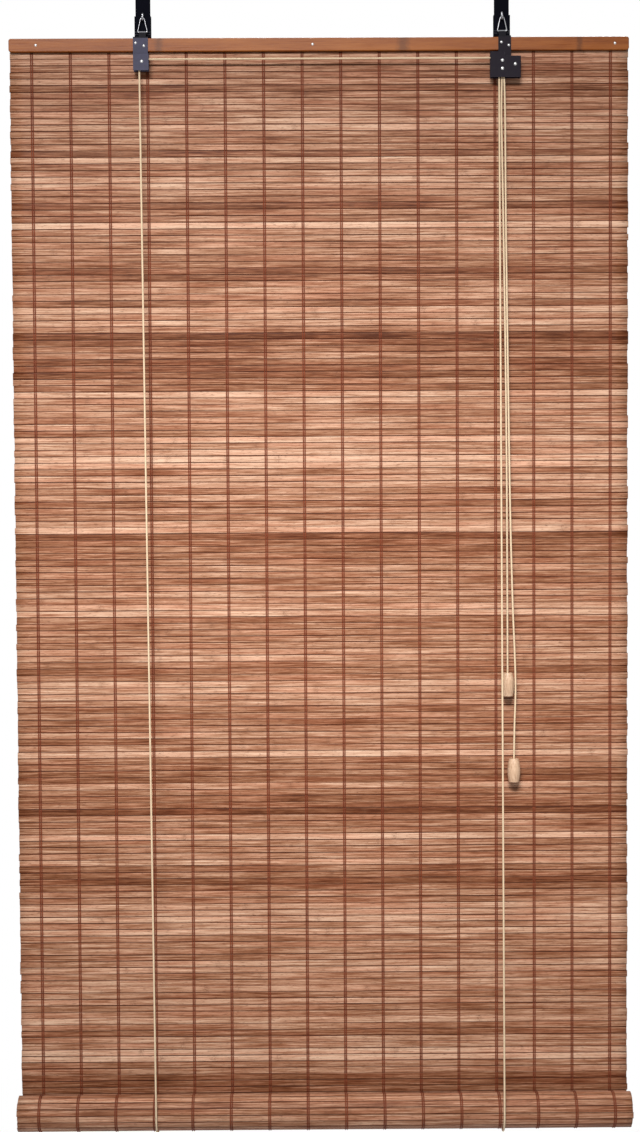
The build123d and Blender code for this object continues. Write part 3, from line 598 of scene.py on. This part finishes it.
pulley = joints["pulley_turn"]["pos_m"]
upper_roller = joints["upper_roller_turn"]["pos_m"]
lower_roller = joints["lower_roller_turn"]["pos_m"]
left_path, roller_path = 4.0 * mm, 4.4 * mm
outer_path = roller_path + 2 * cord_radius + 0.15 * mm
back_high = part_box("head_batten_back")[1]
back_cord_y = back_high.y - 3.0 * mm
front_tops = {
    "left": (pulley[0] - left_path, cord_y, pulley[2]),
    "right": (lower_roller[0] - roller_path, cord_y, lower_roller[2]),
}
for side in ("left", "right"):
    sling_low, sling_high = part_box(f"cord_sling_{side}")
    sling_x = (sling_low.x + sling_high.x) / 2
    front_y, rear_y = sling_low.y + cord_radius, sling_high.y - cord_radius
    for face, top, foot_y in (("front", front_tops[side], front_y),
                              ("back", (sling_x, back_cord_y, back_high.z), rear_y)):
        run = line(top, (sling_x, foot_y, roll_z))
        piece = rope(f"lift_rope_{side}_{face}", run, "blind", f"lift_cord_{side}_{face}")
        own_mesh(piece)
    turn = np.radians(np.linspace(0, 180, 61))
    reach = (rear_y - front_y) / 2
    bow = np.stack([np.full(61, sling_x), (rear_y + front_y) / 2 + reach * np.cos(turn),
                    roll_z - reach * np.sin(turn)], axis=-1)
    rope(f"sling_rope_{side}", bow, "slings", f"cord_sling_{side}")
    tied = knot(f"back_knot_{side}", (sling_x, back_cord_y, back_high.z + 2.4 * mm), 3.2 * mm,
                "blind", 1.2 * mm)
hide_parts("cord_knots")

lean = math.degrees(math.asin((outer_path - roller_path) / (upper_roller[2] - lower_roller[2])))
leave = 25.0
over = arc(upper_roller, roller_path, 90, lean, 12)
under = arc(lower_roller, outer_path, lean, -leave, 8)
stub = np.array((math.sin(math.radians(leave)), 0.0, math.cos(math.radians(leave))))


def stub_end(last, level):
    """Point just short of a free cord's top, straight on from the last point on the roller."""
    top = pull_routes[level][0][1] * mm + (cord_radius + 0.3 * mm) * math.cos(math.radians(leave))
    return last - stub * ((last[2] - top) / stub[2])


cross_run = join(arc(pulley, left_path, 180, 90, 12),
                 line((pulley[0], cord_y, pulley[2] + left_path), over[0]), over,
                 line(over[-1], under[0]), under, line(under[-1], stub_end(under[-1], "lower")))
rope("cross_rope", cross_run, "blind", "cross_cord")
around = arc(lower_roller, roller_path, 180, -leave, 24)
rope("lock_rope", join(around, line(around[-1], stub_end(around[-1], "upper"))), "blind",
     "lock_cord")


# ---- slats ----

# Section of a slat: share of the way from its upper to its lower edge, then mm towards the lower
# edge, mm towards the front face, and how dark the edge lies there: staining plus painted shade, most along the
# lower edge.
section = np.array([
    (0.0, 0.00, 0.15, 1.0),
    (0.0, 0.14, 0.52, 1.0),
    (0.0, 0.48, 0.67, 0.30),
    (0.0, 1.30, 0.73, 0.0),
    (0.5, 0.00, 0.80, 0.0),
    (1.0, -1.45, 0.73, 0.0),
    (1.0, -0.52, 0.67, 0.80),
    (1.0, -0.14, 0.52, 1.0),
    (1.0, 0.00, 0.15, 1.0),
    (1.0, 0.00, -0.40, 1.0),
    (1.0, -0.40, -0.68, 0.62),
    (1.0, -1.30, -0.73, 0.0),
    (0.0, 1.30, -0.73, 0.0),
    (0.0, 0.40, -0.68, 0.62),
    (0.0, 0.00, -0.40, 1.0),
])
node_stations = (-7, -3.2, -1.2, 1.2, 3.2, 7)  # mm from a node where a slat has sections
node_clearance = 12 * mm
node_apart = 30 * mm
node_reach = 6.5 * mm
wave_lengths = np.array([1.1, 0.47, 0.21, 0.09])
wave_heights = np.array([0.24, 0.15, 0.08, 0.03]) * mm
edge_phase = rng.uniform(0, 2 * math.pi, (hanging_slats + 1, 4))
edge_height = rng.uniform(0.2, 1.0, (hanging_slats + 1, 4)) * wave_heights
edge_height[[0, hanging_slats]] = 0.0
edge_dark = np.clip(rng.normal(0.95, 0.22, hanging_slats + 1), 0.4, 1.25)


def edge_place(k, x):
    """Height of the line between slat k - 1 and slat k at x."""
    waves = np.sin(2 * math.pi * x[:, None] / wave_lengths + edge_phase[k])
    return rail_foot - k * pitch + waves @ edge_height[k]


def slow_walk(count, hold):
    """Random values, each near the one before, of about unit spread."""
    values = [rng.normal()]
    for _ in range(count - 1):
        values.append(hold * values[-1] + math.sqrt(1 - hold * hold) * rng.normal())
    return np.array(values)


def slat_stations(nodes, spacing):
    """Places along a slat: even ones, and closer ones at its nodes."""
    even = np.arange(slat_left, slat_right, spacing)[1:]
    near = [node + step * mm for node in nodes for step in node_stations]
    kept = [x for x in even if all(abs(x - node) > node_clearance for node in nodes)]
    return np.array(sorted(kept + near))


def add_slat(parts, centre, down, upper, lower, tone, seed, dark, spacing=22 * mm):
    """One slat. centre and down are (y, z); upper and lower give its edges along down at each x."""
    node_count = rng.randint(1, 4)
    nodes = np.sort(rng.uniform(slat_left + node_apart, slat_right - node_apart, node_count))
    nodes = [x for i, x in enumerate(nodes) if i == 0 or x - nodes[i - 1] > node_apart]
    ends = np.array([slat_left + rng.uniform(-0.4, 1.2) * mm,
                     slat_right + rng.uniform(-1.2, 0.4) * mm])
    inner = slat_stations(nodes, spacing)
    x = np.concatenate([ends[:1], inner, ends[1:]])
    near = np.min(np.abs(x[:, None] - np.array(nodes)[None]), axis=1)
    mark = np.clip(1 - near / node_reach, 0, 1)
    ridge = np.where(near < 2 * mm, 0.22, 0.0) * mm
    bow = 0.16 * mm * np.sin(2 * math.pi * x / rng.uniform(0.4, 1.3) + rng.uniform(0, 6.28))
    tilt = rng.normal(0, 0.014)
    up, low = upper(x) + mean_slat_gap / 2, lower(x) - mean_slat_gap / 2
    share, inset, depth, staining_and_shade = section.T
    along = (up[:, None] * (1 - share) + low[:, None] * share) + inset * mm
    out = depth * mm * (1 + ridge[:, None] / mm * 0.35) + bow[:, None] + tilt * along
    front = (down[1], -down[0])
    rings = np.empty((len(x), len(section), 3))
    rings[..., 0] = x[:, None]
    rings[..., 1] = centre[0] + along * down[0] + out * front[0]
    rings[..., 2] = centre[1] + along * down[1] + out * front[1]
    fade = 1 + 0.3 * np.sin(2 * math.pi * x / 0.31 + seed * 40)
    sides = np.where(share < 0.5, dark[0], dark[1])
    look = np.empty(rings.shape)
    look[..., 0] = tone
    look[..., 1] = seed
    # Edge darkness from the section: staining plus painted shade in the gap and under the lower edge.
    look[..., 2] = np.clip(staining_and_shade * sides * fade[:, None], 0, 1)
    rest = np.stack(np.broadcast_arrays(x[:, None], along, out), axis=-1)
    parts.tube(rings, slat_look=look, rest_place=rest,
               node_mark=np.broadcast_to(mark[:, None], rings.shape[:2]))


dark_slats = (2, 18, 21, 25, 32, 36, 44, 74, 104, 115, 129, 141, 146, 152)
light_slats = (10, 16, 26, 39, 52, 59, 66, 68, 73, 86, 97, 107, 121, 150, 162)
tones = 0.50 + 0.11 * slow_walk(hanging_slats, 0.2) + 0.02 * slow_walk(hanging_slats, 0.9)
tones[list(dark_slats)] -= 0.06
tones[list(light_slats)] += 0.12
seeds = rng.uniform(0, 1, hanging_slats)


def edges_from(k, middle):
    """Upper and lower edge of hanging slat k as distances below its middle."""
    return (lambda x: middle - edge_place(k, x)), (lambda x: middle - edge_place(k + 1, x))


for number, name in enumerate(band_names):
    parts = Parts()
    first = number * slats_per_band
    for k in range(first, min(first + slats_per_band, hanging_slats)):
        middle = rail_foot - (k + 0.5) * pitch
        upper, lower = edges_from(k, middle)
        add_slat(parts, (mat_y, middle), (0.0, -1.0), upper, lower, tones[k], seeds[k],
                 (edge_dark[k], edge_dark[k + 1]))
    piece = parts.piece(f"bamboo_{name}", split_bamboo, "bamboo_slats", "blind", name)
    if number:
        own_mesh(piece)

parts = Parts()
for k in (-2, -1):
    half = 0.47 * pitch
    add_slat(parts, (mat_y, rail_foot - (k + 0.5) * pitch), (0.0, -1.0), lambda x: 0 * x - half,
             lambda x: 0 * x + half, 0.5, 0.3 * k, (0.8, 0.8), 60 * mm)
parts.piece("bamboo_in_rail", split_bamboo, "bamboo_slats", "blind", "slats_in_rail")


# ---- roll ----

def roll_corners():
    """(y, z) corners of the rolled mat, from the foot of the hanging slats inwards, and its turn."""
    corners, turn, radius = [], 0.0, roll_radius
    while turn < 2 * math.pi * roll_turns:
        if corners:
            turn += 2 * math.asin(pitch / 2 / radius)
        radius = roll_radius - layer_pitch * turn / (2 * math.pi)
        corners.append(np.array((roll_y + radius * math.cos(turn),
                                 roll_z - radius * math.sin(turn))))
    return corners, turn


corners, turned = roll_corners()
tail_way = np.array((math.cos(turned + math.radians(40)), -math.sin(turned + math.radians(40))))
axis_place = np.array((roll_y, roll_z))
tail = [axis_place + tail_way * reach * mm for reach in (9.95, 0.35, -9.25)]
facets = list(zip(corners, corners[1:])) + list(zip([corners[-1]] + tail, tail))
roll_tones = 0.52 + 0.06 * slow_walk(len(facets), 0.3)
roll_tones[[3, 4]] += 0.20
parts = Parts()
for i, (start, end) in enumerate(facets):
    way = (end - start) / np.linalg.norm(end - start)
    half = min(pitch, np.linalg.norm(end - start)) / 2 - roll_slat_gap
    add_slat(parts, (start + end) / 2, way, lambda x: 0 * x - half, lambda x: 0 * x + half,
             roll_tones[i], rng.uniform(), (0.75, 0.75), (24 if i < outer_slats else 75) * mm)
parts.piece("bamboo_roll", split_bamboo, "bamboo_slats", "roll", "roll_mat")


# ---- warp threads ----

columns = first_column + column_step * np.arange(thread_columns)
thread_sides = 5
ring = np.arange(thread_sides) * 2 * math.pi / thread_sides


def strand(parts, x, heights, depths):
    """Upright strand through (height, depth) places, with level rings."""
    weave = 0.12 * mm * np.sin(np.arange(len(heights)) * 2.1 + x * 900)
    centre = np.stack([x + weave, mat_y - depths, heights], axis=-1)
    rings = np.repeat(centre[:, None], thread_sides, axis=1)
    rings[..., 0] += thread_radius * np.cos(ring)
    rings[..., 1] += thread_radius * np.sin(ring)
    parts.tube(rings, rest_place=rings.copy())


def strands_between(name, first, last):
    """Two pairs of twined strands at each column, over slats first to last."""
    parts = Parts()
    for column in columns:
        for offset in (-strand_offset, strand_offset):
            x = column + offset
            lines = np.array([edge_place(k, np.array([x]))[0] for k in range(first, last + 1)])
            for phase in (0, 1):
                heights, depths = [], []
                for i in range(last - first):
                    face = strand_height if (i + first + phase) % 2 == 0 else -strand_height
                    dip = thread_tuck * pitch
                    heights += [lines[i], lines[i] - dip, lines[i + 1] + dip]
                    depths += [0.0, face, face]
                heights.append(lines[-1])
                depths.append(0.0)
                strand(parts, x, np.array(heights), np.array(depths))
    return parts.piece(name, warp_thread, "warp_thread", "blind")


still_threads = strands_between("twined_threads_top", 0, slats_per_band)
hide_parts("warp_threads")
middle_slat = (slats_per_band + hanging_slats) // 2
for name, first, last in (("twined_threads_middle", slats_per_band, middle_slat),
                          ("twined_threads_foot", middle_slat, hanging_slats)):
    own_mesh(strands_between(name, first, last))

parts = Parts()
outer_facets = facets[:threaded_slats]
for column in columns:
    for offset in (-strand_offset, strand_offset):
        places = []
        for start, end in outer_facets:
            way = (end - start) / np.linalg.norm(end - start)
            out = np.array((-way[1], way[0])) * strand_height
            dip = thread_tuck * (end - start)
            places += [start, start + dip + out, end - dip + out]
        places = np.array(places)
        path = np.column_stack([np.full(len(places), column + offset), places])
        rings, _ = cross(path, thread_radius, thread_sides)
        parts.tube(rings, rest_place=rings.copy())
parts.piece("twined_threads_roll", warp_thread, "warp_thread", "roll")


# ---- stitches on the folded straps ----

stitch_rows = (6.0 * mm, 9.2 * mm)  # heights above the foot of the strap
stitch_step = 2.55 * mm
stitch_radius = 0.32 * mm
# One stitch: mm along the row from its middle, and mm out of the webbing's face.
stitch_bend = [(-1.0, 0.10), (-0.8, -0.12), (0.0, -0.22), (0.8, -0.12), (1.0, 0.10)]
for side in ("left", "right"):
    low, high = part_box(f"strap_{side}")
    parts = Parts()
    for row in stitch_rows:
        z = low.z + row
        for step in np.arange(-4, 5) * stitch_step:
            x = (low.x + high.x) / 2 + step
            path = [(x + a * mm, low.y + b * mm, z) for a, b in stitch_bend]
            rings, lay = cross(path, stitch_radius, 6)
            parts.tube(rings, cord_lay=lay)
    parts.piece(f"stitches_{side}", stitch_thread, "black_webbing", "hangers")


# ---- floor, light and sky ----

def area_light(name, place, aim, size, power, spread):
    data = bpy.data.lights.new(name, "AREA")
    data.shape = "RECTANGLE"
    data.size, data.size_y = size
    data.energy = power
    data.spread = math.radians(spread)
    lamp = bpy.data.objects.new(name, data)
    bpy.context.scene.collection.objects.link(lamp)
    lamp.location = place
    lamp.rotation_euler = (Vector(aim) - Vector(place)).to_track_quat("-Z", "Y").to_euler()


area_light("key", (-0.4, -2.6, 1.2), (0.0, 0.0, -0.98), (1.8, 0.4), 15.5, 44.0)
area_light("back", (0.6, 2.2, 1.8), (0.0, 0.0, -0.8), (1.8, 0.8), 24.0, 80.0)

floor_mesh = bpy.data.meshes.new("floor")
floor_half, floor_near, floor_far, floor_z = 7, -8, 2.2, -2.6
floor_mesh.from_pydata([(-floor_half, floor_near, floor_z), (floor_half, floor_near, floor_z),
                        (floor_half, floor_far, floor_z), (-floor_half, floor_far, floor_z)],
                       [], [(0, 1, 2, 3)])
floor_material, _, floor_shader = new_material("pale_floor")
floor_shader.inputs["Base Color"].default_value = (0.82, 0.82, 0.82, 1.0)
floor_shader.inputs["Emission Color"].default_value = (1.0, 1.0, 1.0, 1.0)
floor_shader.inputs["Emission Strength"].default_value = 0.30
floor_shader.inputs["Roughness"].default_value = 0.8
floor_mesh.materials.append(floor_material)
floor = bpy.data.objects.new("floor", floor_mesh)
bpy.context.scene.collection.objects.link(floor)

world = bpy.data.worlds.new("studio")
world.use_nodes = True
bpy.context.scene.world = world
sky = world.node_tree
surround = sky.nodes["Background"]
surround.inputs["Color"].default_value = (1.0, 1.0, 1.0, 1.0)
surround.inputs["Strength"].default_value = 0.21
backdrop = add(sky, "ShaderNodeBackground", {"Color": (1.0, 1.0, 1.0), "Strength": 1.0})
seen = add(sky, "ShaderNodeLightPath", out="Is Camera Ray")
put(sky, sky.nodes["World Output"].inputs["Surface"],
    add(sky, "ShaderNodeMixShader", {0: seen, 1: surround.outputs[0], 2: backdrop}))
bpy.context.scene.view_settings.view_transform = "Standard"
